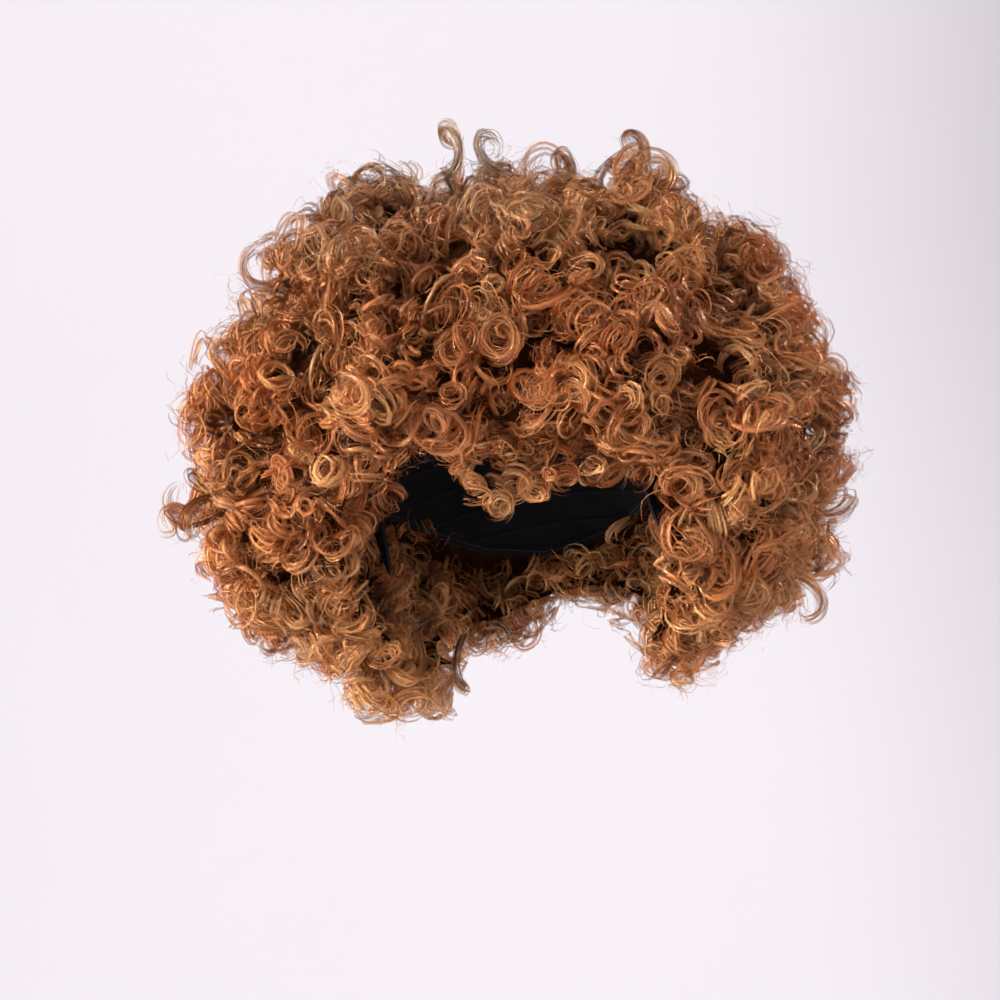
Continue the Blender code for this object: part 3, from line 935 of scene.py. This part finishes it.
# Curls that stand by themselves, with the columns of Curl:
# bearing round the front view from the wearer's left, and degrees turned to the front;
# reach from the hair's centre and radius of the ring, in mm; turns; how far the curl rises, in mm;
# how far the ring faces out, from 0 to 1; and its tone
LOOSE_CURLS = (
    (352, 39, 161, 12.0, 2.6, 7, 1.00, 0.40),
    (178, 48, 153, 9.0, 1.8, 5, 0.95, 0.30),
    (166, 52, 141, 9.0, 1.8, 6, 0.90, 0.30),
    (16, 54, 143, 8.0, 2.0, 8, 0.80, 0.70),
    (26, 64, 135, 8.0, 2.2, 24, 0.25, 0.95),
    (32, 64, 136, 8.5, 2.0, 20, 0.30, 0.95),
    (85, -4, 135, 8.5, 1.5, 5, 0.20, 0.75),
    (70, -16, 128, 8.0, 1.6, 6, 0.20, 0.80),
    (56, -5, 145, 8.5, 1.7, 5, 0.20, 0.55),
    (50, 5, 143, 10.0, 1.3, 8, 0.20, 0.60),
    (95, -2, 143, 7.0, 1.7, 18, 0.15, 0.95),
    (25, 6, 147, 9.0, 1.6, 8, 0.30, 0.40),
    (109, -3, 133, 8.0, 1.6, 9, 0.30, 0.60),
    (183, 15, 173, 10.0, 1.4, 10, 0.20, 0.60),
    (186, 20, 179, 8.5, 1.4, 8, 0.30, 0.60),
    (192, 35, 175, 9.0, 1.5, 10, 0.35, 0.40),
    (187, 16, 185, 7.0, 1.3, 14, 0.25, 0.85),
    (335, 5, 167, 9.0, 1.4, 6, 0.30, 0.80),
    (320, 9, 177, 7.0, 1.2, 16, 0.25, 0.80),
    (318, 29, 161, 7.0, 1.7, 8, 0.40, 0.75),
    (310, 32, 165, 7.0, 1.8, 8, 0.40, 0.70),
    (226, 34, 158, 8.5, 1.7, 8, 0.40, 0.70),
    (238, 36, 153, 8.0, 1.7, 8, 0.40, 0.60),
    (248, 17, 149, 7.5, 1.6, 8, 0.40, 0.75),
    (64, 53, 127, 7.5, 1.8, 8, 0.70, 0.40),
    (49, 49, 125, 8.0, 1.8, 8, 0.70, 0.50),
    (4, 31, 151, 9.0, 2.0, 10, 0.50, 0.55),
    (135, 44, 137, 8.5, 1.8, 8, 0.80, 0.45),
    (111, 28, 113, 8.0, 1.8, 8, 0.60, 0.35),
    (157, 36, 145, 8.5, 1.8, 8, 0.70, 0.50),
    (101, 67, 134, 8.0, 1.8, 8, 0.80, 0.20),
    (76, 66, 141, 8.5, 1.8, 8, 0.80, 0.35),
    (45, 71, 132, 8.0, 1.8, 10, 0.60, 0.80),
    (6, 62, 142, 7.5, 1.9, 10, 0.60, 0.60),
    (26, 36, 137, 8.5, 1.8, 8, 0.70, 0.40),
    (0, 49, 155, 9.0, 1.8, 9, 0.70, 0.45),
    (344, 55, 151, 7.0, 1.8, 9, 0.60, 0.35),
    (330, 42, 156, 8.0, 1.8, 9, 0.60, 0.40),
    (140, 5, 147, 9.5, 1.6, 8, 0.40, 0.70),
    (165, 22, 160, 9.0, 1.6, 9, 0.40, 0.50),
    (355, -7, 155, 9.0, 1.6, 9, 0.40, 0.60),
    (208, 13, 169, 8.0, 1.6, 9, 0.40, 0.70),
)

# Curls that hang before the forehead and the temples, with the same columns.
# In place of the rise they give how far the curl hangs
HANGING_CURLS = (
    (252, 84, 113, 6.0, 1.9, 13, 0.90, 0.85),
    (258, 83, 112, 5.0, 1.8, 10, 0.80, 0.60),
    (193, 83, 112, 5.0, 1.7, 9, 0.80, 0.70),
    (300, 84, 112, 5.5, 1.5, 7, 0.85, 0.80),
    (321, 81, 113, 5.5, 1.8, 8, 0.85, 0.75),
    (339, 74, 111, 6.0, 1.6, 7, 0.80, 0.60),
    (347, 66, 107, 6.5, 1.7, 9, 0.80, 0.55),
    (346, 60, 105, 7.0, 1.8, 10, 0.75, 0.90),
    (343, 49, 101, 6.0, 1.8, 9, 0.70, 0.50),
    (337, 36, 100, 6.5, 2.0, 10, 0.60, 0.40),
    (189, 57, 106, 6.5, 1.7, 8, 0.75, 0.35),
    (197, 41, 106, 7.0, 1.8, 9, 0.70, 0.40),
    (205, 38, 110, 6.5, 1.9, 10, 0.70, 0.60),
)


class WIG_OT_underhair(bpy.types.Operator):
    """Make the dark core, painted shade, that shows between the locks"""

    bl_idname = "wig.underhair"
    bl_label = "Painted shade underhair"

    def execute(self, context):
        sizes = context.scene.wig_sizes
        mesh = growing_surface(sizes, sizes.core_inset, CORE_LEVEL)
        piece = bpy.data.objects.new("underhair", mesh)
        context.scene.collection.objects.link(piece)
        mesh.shade_smooth()
        mesh.materials.clear()
        mesh.materials.append(painted_shade_core_material(context.scene.wig_colours))
        show_piece(piece, "curled_hair", "hair_mass")
        return {"FINISHED"}


class WIG_OT_curls(bpy.types.Operator):
    """Grow the curled locks all over the wig, one piece for each region"""

    bl_idname = "wig.curls"
    bl_label = "Curled locks"

    def execute(self, context):
        sizes, curls = context.scene.wig_sizes, context.scene.wig_curls
        surface = growing_surface(sizes, sizes.curl_inset, LOCK_LEVEL)
        fibre = hair_material("Curled fibre", context.scene.wig_colours, curls.ribbon, fibres=8)
        strands = tree_named("Curled strands", strand_tree)
        scatter = tree_named("Scattered curls", scatter_tree, strands)
        for number, region in enumerate(REGIONS):
            values = {
                "Density": curls.density,
                "Seed": 100 + number,
                "Small": curls.small,
                "Large": curls.large,
                "Least turns": curls.least_turns,
                "Most turns": curls.most_turns,
                "Pitch": curls.pitch,
                "Depth": curls.depth,
                "Layer": curls.layer,
                "Facing": curls.facing,
                "Sag": curls.sag,
                "Clump": curls.clump,
                "Strands": curls.strands,
                "Steps": curls.steps,
                "Ribbon": curls.ribbon,
                "Spread": curls.spread,
                "Frizz": curls.frizz,
                "Material": fibre,
            }
            piece = grow("curls_" + region, part_surface(surface, region), scatter, values)
            show_piece(piece, "curled_hair")
        return {"FINISHED"}


class WIG_OT_fringe(bpy.types.Operator):
    """Grow the short curls that hang over the forehead"""

    bl_idname = "wig.fringe"
    bl_label = "Fringe"

    def execute(self, context):
        curls = context.scene.wig_curls
        thinner = 0.7
        weft_reach = 0.0062
        ribbon = curls.ribbon * thinner
        # Painted light: shade 1.1 makes a lighter copy of the fibre, so that the fringe reads brighter than
        # its shadow
        fibre = hair_material("Fringe fibre", context.scene.wig_colours, ribbon, fibres=5, shade=1.1)
        strands = tree_named("Curled strands", strand_tree)
        scatter = tree_named("Scattered curls", scatter_tree, strands)
        values = {
            "Density": 44000.0,
            "Seed": 300,
            "Small": 0.0030,
            "Large": 0.0066,
            "Least turns": 1.1,
            "Most turns": 2.3,
            "Pitch": 0.0040,
            "Depth": 0.001,
            "Layer": 0.001,
            "Facing": 0.7,
            "Sag": 0.5,
            "Clump": 0.0,
            "Strands": curls.strands,
            "Steps": curls.steps,
            "Ribbon": ribbon,
            "Spread": curls.spread * thinner,
            "Frizz": curls.frizz,
            "Material": fibre,
        }
        piece = grow("fringe_curls", fringe_surface(weft_reach), scatter, values)
        show_piece(piece, "curled_hair", "fringe")
        return {"FINISHED"}


class WIG_OT_loose(bpy.types.Operator):
    """Grow the curls that stand by themselves at the outline and in the front"""

    bl_idname = "wig.loose"
    bl_label = "Loose curls"

    def execute(self, context):
        curls = context.scene.wig_curls
        ribbon = curls.ribbon * 0.85
        fibre = hair_material("Loose fibre", context.scene.wig_colours, ribbon, fibres=5)
        values = {
            "Strands": 14,
            "Steps": 34,
            "Ribbon": ribbon,
            "Spread": curls.spread,
            "Frizz": curls.frizz * 0.7,
            "Material": fibre,
        }
        strands = tree_named("Curled strands", strand_tree)
        for name, rows, first, hanging, depth in (
            ("loose_curls", LOOSE_CURLS, 5000, False, 0.030),
            ("hanging_curls", HANGING_CURLS, 6000, True, 0.010),
        ):
            piece = grow(name, loose_points(rows, first, hanging, depth), strands, values)
            show_piece(piece, "curled_hair")
        return {"FINISHED"}


class WIG_OT_frizz(bpy.types.Operator):
    """Grow the fine stray fibres that blur the outline"""

    bl_idname = "wig.frizz"
    bl_label = "Frizz"

    def execute(self, context):
        sizes, curls = context.scene.wig_sizes, context.scene.wig_curls
        single_fibre = 0.00026
        # Painted light: shade 1.1 makes the stray fibres a lighter copy of the fibre
        fibre = hair_material("Stray fibre", context.scene.wig_colours, single_fibre, shade=1.1)
        strands = tree_named("Curled strands", strand_tree)
        scatter = tree_named("Scattered curls", scatter_tree, strands)
        values = {
            "Density": 4300.0,
            "Seed": 400,
            "Small": 0.0025,
            "Large": 0.0110,
            "Least turns": 0.5,
            "Most turns": 1.5,
            "Pitch": 0.0090,
            "Depth": 0.006,
            "Layer": 0.002,
            "Facing": 0.9,
            "Sag": 0.0,
            "Clump": curls.clump,
            "Strands": 3,
            "Steps": 16,
            "Ribbon": single_fibre,
            "Spread": 0.010,
            "Frizz": 0.006,
            "Material": fibre,
        }
        surface = growing_surface(sizes, sizes.curl_inset * 0.5, LOCK_LEVEL)
        piece = grow("frizz", surface, scatter, values)
        show_piece(piece, "curled_hair")
        return {"FINISHED"}


def cloth_copy(name, node, finish):
    """A welded copy of a node, shaded smoothly up to the angle of a tape's edge, in place of it."""
    edge_angle = math.radians(48)
    sheet = bmesh.new()
    sheet.from_mesh(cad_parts[node].data)
    bmesh.ops.remove_doubles(sheet, verts=sheet.verts, dist=WELD_GAP)
    mesh = bpy.data.meshes.new(name)
    sheet.to_mesh(mesh)
    sheet.free()
    old_normals = mesh.attributes.get("custom_normal")
    if old_normals:
        mesh.attributes.remove(old_normals)
    mesh.shade_smooth()
    mesh.set_sharp_from_angle(angle=edge_angle)
    mesh.materials.clear()
    mesh.materials.append(finish)
    piece = bpy.data.objects.new(name, mesh)
    bpy.context.scene.collection.objects.link(piece)
    show_piece(piece, "cap_cloth", node)


def tape_line(inside, share):
    """A closed row of edges along the binding, at a share of its height and on one face of it."""
    step = 10
    stations = {}
    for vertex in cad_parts["edge_binding"].data.vertices:
        turn = math.degrees(math.atan2(vertex.co.x, -vertex.co.y))
        stations.setdefault(round(turn / step) % (360 // step), []).append(vertex.co.copy())
    choose = min if inside else max
    points = []
    for turn in sorted(stations):
        spots = sorted(stations[turn], key=lambda p: p.z)
        middle = (spots[0].z + spots[-1].z) / 2
        low = choose((p for p in spots if p.z < middle), key=lambda p: math.hypot(p.x, p.y))
        high = choose((p for p in spots if p.z >= middle), key=lambda p: math.hypot(p.x, p.y))
        points.append(low.lerp(high, share))
    mesh = bpy.data.meshes.new("tape_line")
    count = len(points)
    mesh.from_pydata(points, [(i, (i + 1) % count) for i in range(count)], [])
    return mesh


def stitch_tree():
    """Sets short threads end to end along a row of edges."""
    inputs = {"Count": "Int", "Length": "Float", "Thread": "Float", "Material": "Material"}
    board = GeometryBoard("Stitches", inputs)
    line = board.wire("GeometryNodeMeshToCurve", {}, {"Mesh": board.given("Geometry")})
    along = {"Curve": line, "Count": board.given("Count")}
    spots = board.node("GeometryNodeCurveToPoints", {"mode": "COUNT"}, along)
    size = {"Vertices": 6, "Radius": board.given("Thread") * 0.5, "Depth": board.given("Length")}
    values = {
        "Points": Wire(board, spots.outputs["Points"]),
        "Instance": board.wire("GeometryNodeMeshCylinder", {}, size),
        "Rotation": Wire(board, spots.outputs["Rotation"]),
    }
    made = board.wire("GeometryNodeInstanceOnPoints", {}, values)
    made = board.wire("GeometryNodeRealizeInstances", {}, {"Geometry": made})
    finish = {"Geometry": made, "Material": board.given("Material")}
    return board.finish(board.wire("GeometryNodeSetMaterial", {}, finish))


def thread_material():
    """Black sewing thread, a little glossier than the tape."""
    made, board, shader = new_material("Stitch thread")
    place = board.wire("ShaderNodeTexCoord", output="Object")
    ply = board.noise(place, 1800.0, 1.0)
    board.feed(shader.inputs["Base Color"], board.mix(ply, (0.020, 0.019, 0.020), (0.070, 0.066, 0.070)))
    board.feed(shader.inputs["Roughness"], 0.45 + ply * 0.25)
    board.feed(shader.inputs["Normal"], board.relief(ply, 0.0002, 0.6))
    return made


class WIG_OT_cap(bpy.types.Operator):
    """Finish the cap, its binding and its ear tabs in black net cloth, and stitch the binding"""

    bl_idname = "wig.cap"
    bl_label = "Cap cloth"

    def execute(self, context):
        net = cloth_material("Cap net", (0.005, 0.005, 0.006), thread=0.0014, row_gap=0.0150)
        tape = cloth_material("Binding tape", (0.007, 0.006, 0.007), thread=0.0009, row_gap=0.0030)
        cloth_copy("cap_net", "cap", net)
        cloth_copy("ear_tab_net_left", "ear_tab_left", net)
        cloth_copy("ear_tab_net_right", "ear_tab_right", net)
        cloth_copy("binding_tape", "edge_binding", tape)
        stitches = tree_named("Stitches", stitch_tree)
        values = {"Count": 210, "Length": 0.0019, "Thread": 0.0005, "Material": thread_material()}
        middle = 0.5
        for name, inside in (("stitches_inside", True), ("stitches_outside", False)):
            piece = grow(name, tape_line(inside, middle), stitches, values)
            show_piece(piece, "cap_cloth")
        return {"FINISHED"}


# The lamps: name, place, what it is turned to, size, power and colour
LAMPS = (
    ("key", (-1.4, -1.0, 0.75), HAIR_CENTRE, 0.30, 38.0, (1.0, 0.98, 0.96)),
    ("fill", (1.2, -1.2, 0.4), HAIR_CENTRE, 0.45, 2.8, (1.0, 0.97, 0.97)),
    ("low_fill", (-1.25, -0.8, -0.5), HAIR_CENTRE, 0.6, 9.0, (1.0, 0.98, 0.99)),
    ("backdrop", (-0.5, 0.6, 1.0), Vector((-0.2, 1.9, 0.0)), 1.2, 1.0, (1.0, 0.98, 1.0)),
    ("top", (0.1, 0.5, 1.5), HAIR_CENTRE, 0.6, 1.5, (1.0, 0.98, 1.0)),
    ("back", (1.5, 1.1, 0.8), HAIR_CENTRE, 0.5, 15.0, (1.0, 0.98, 0.98)),
)


def area_light(name, place, target, size, power, colour):
    lamp = bpy.data.lights.new(name, "AREA")
    lamp.shape = "DISK"
    lamp.size = size
    lamp.energy = power
    lamp.color = colour
    made = bpy.data.objects.new(name, lamp)
    made.location = place
    made.rotation_euler = (target - Vector(place)).to_track_quat("-Z", "Y").to_euler()
    bpy.context.scene.collection.objects.link(made)


def light_from_all_round(colour, strength):
    world = bpy.data.worlds.new("studio")
    world.use_nodes = True
    air = world.node_tree.nodes["Background"]
    air.inputs["Color"].default_value = (*colour, 1)
    air.inputs["Strength"].default_value = strength
    bpy.context.scene.world = world


def paper_material(colour):
    """Pale paper, a little mottled, in soft shade towards the right."""
    made, board, shader = new_material("Backdrop paper")
    place = board.wire("ShaderNodeTexCoord", output="Object")
    paper = board.mix(board.noise(place, 3.0, 3.0), tuple(c * 0.98 for c in colour), tuple(colour))
    shade = 1.0 - place.part("X").ramp(0.0, 0.9) * 0.54
    board.feed(shader.inputs["Base Color"], paper * shade)
    shader.inputs["Roughness"].default_value = 0.9
    return made


def backdrop(colour):
    """A sweep of pale paper: floor, bend and wall as one smooth sheet."""
    floor_height, wall_place, wall_height = -1.05, 1.9, 3.2
    bend, bend_steps, half_width, reach = 0.8, 12, 4.5, 4.0
    profile = [(-reach, 0.0), (wall_place - bend, 0.0)]
    for step in range(1, bend_steps + 1):
        angle = math.pi / 2 * step / bend_steps
        profile.append((wall_place - bend + bend * math.sin(angle), bend * (1 - math.cos(angle))))
    profile.append((wall_place, wall_height))
    sheet = bmesh.new()
    rows = [
        [sheet.verts.new((x, y, floor_height + z)) for y, z in profile]
        for x in (-half_width, half_width)
    ]
    for i in range(len(profile) - 1):
        sheet.faces.new((rows[0][i], rows[1][i], rows[1][i + 1], rows[0][i + 1]))
    mesh = bpy.data.meshes.new("paper_sweep")
    sheet.to_mesh(mesh)
    sheet.free()
    mesh.shade_smooth()
    mesh.materials.append(paper_material(colour))
    made = bpy.data.objects.new("paper_sweep", mesh)
    bpy.context.scene.collection.objects.link(made)


def set_camera(studio):
    """Looks at the wig from the photo's side and height, with the frame turned by the roll."""
    aim = Vector((-0.002, -0.082, -0.095))
    turn, tilt, roll = (math.radians(a) for a in (studio.azimuth, studio.elevation, studio.roll))
    back = Vector((math.sin(turn) * math.cos(tilt), -math.cos(turn) * math.cos(tilt), math.sin(tilt)))
    right = Vector((math.cos(turn), math.sin(turn), 0))
    up = back.cross(right)
    right_rolled = right * math.cos(roll) - up * math.sin(roll)
    up_rolled = up * math.cos(roll) + right * math.sin(roll)
    lens = bpy.data.cameras.new("camera")
    lens.lens = studio.lens
    lens.sensor_width = 36.0
    camera = bpy.data.objects.new("camera", lens)
    turned = Matrix((right_rolled, up_rolled, back)).transposed().to_4x4()
    camera.matrix_world = Matrix.Translation(aim + back * studio.distance) @ turned
    bpy.context.scene.collection.objects.link(camera)
    bpy.context.scene.camera = camera


class WIG_OT_stage(bpy.types.Operator):
    """Set up the pale backdrop, the lights and the camera"""

    bl_idname = "wig.stage"
    bl_label = "Studio"

    def execute(self, context):
        studio = context.scene.wig_studio
        backdrop(studio.paper)
        set_camera(studio)
        for lamp in LAMPS:
            area_light(*lamp)
        light_from_all_round(studio.air, studio.air_strength)
        context.scene.view_settings.view_transform = "Standard"
        return {"FINISHED"}


class WIG_PT_dresser(bpy.types.Panel):
    """Lists the pieces that can be made"""

    bl_label = "Wig"
    bl_idname = "WIG_PT_dresser"
    bl_space_type = "VIEW_3D"
    bl_region_type = "UI"
    bl_category = "Wig"

    def draw(self, context):
        scene = context.scene
        for settings in (scene.wig_colours, scene.wig_curls, scene.wig_sizes, scene.wig_studio):
            box = self.layout.box()
            for name in settings.__annotations__:
                box.prop(settings, name)
        for operator in OPERATORS:
            self.layout.operator(operator.bl_idname)


SETTINGS = {
    "wig_colours": HairColours,
    "wig_curls": CurlSizes,
    "wig_sizes": WigSizes,
    "wig_studio": Studio,
}
OPERATORS = (
    WIG_OT_stage,
    WIG_OT_underhair,
    WIG_OT_curls,
    WIG_OT_fringe,
    WIG_OT_loose,
    WIG_OT_frizz,
    WIG_OT_cap,
)


def register():
    for made in (*SETTINGS.values(), *OPERATORS, WIG_PT_dresser):
        bpy.utils.register_class(made)
    for name, settings in SETTINGS.items():
        setattr(bpy.types.Scene, name, PointerProperty(type=settings))


def unregister():
    for name in SETTINGS:
        delattr(bpy.types.Scene, name)
    for made in (WIG_PT_dresser, *OPERATORS, *SETTINGS.values()):
        bpy.utils.unregister_class(made)


def main():
    register()
    bpy.ops.wig.stage()
    bpy.ops.wig.underhair()
    bpy.ops.wig.curls()
    bpy.ops.wig.fringe()
    bpy.ops.wig.loose()
    bpy.ops.wig.frizz()
    bpy.ops.wig.cap()


if __name__ == "__main__":
    main()
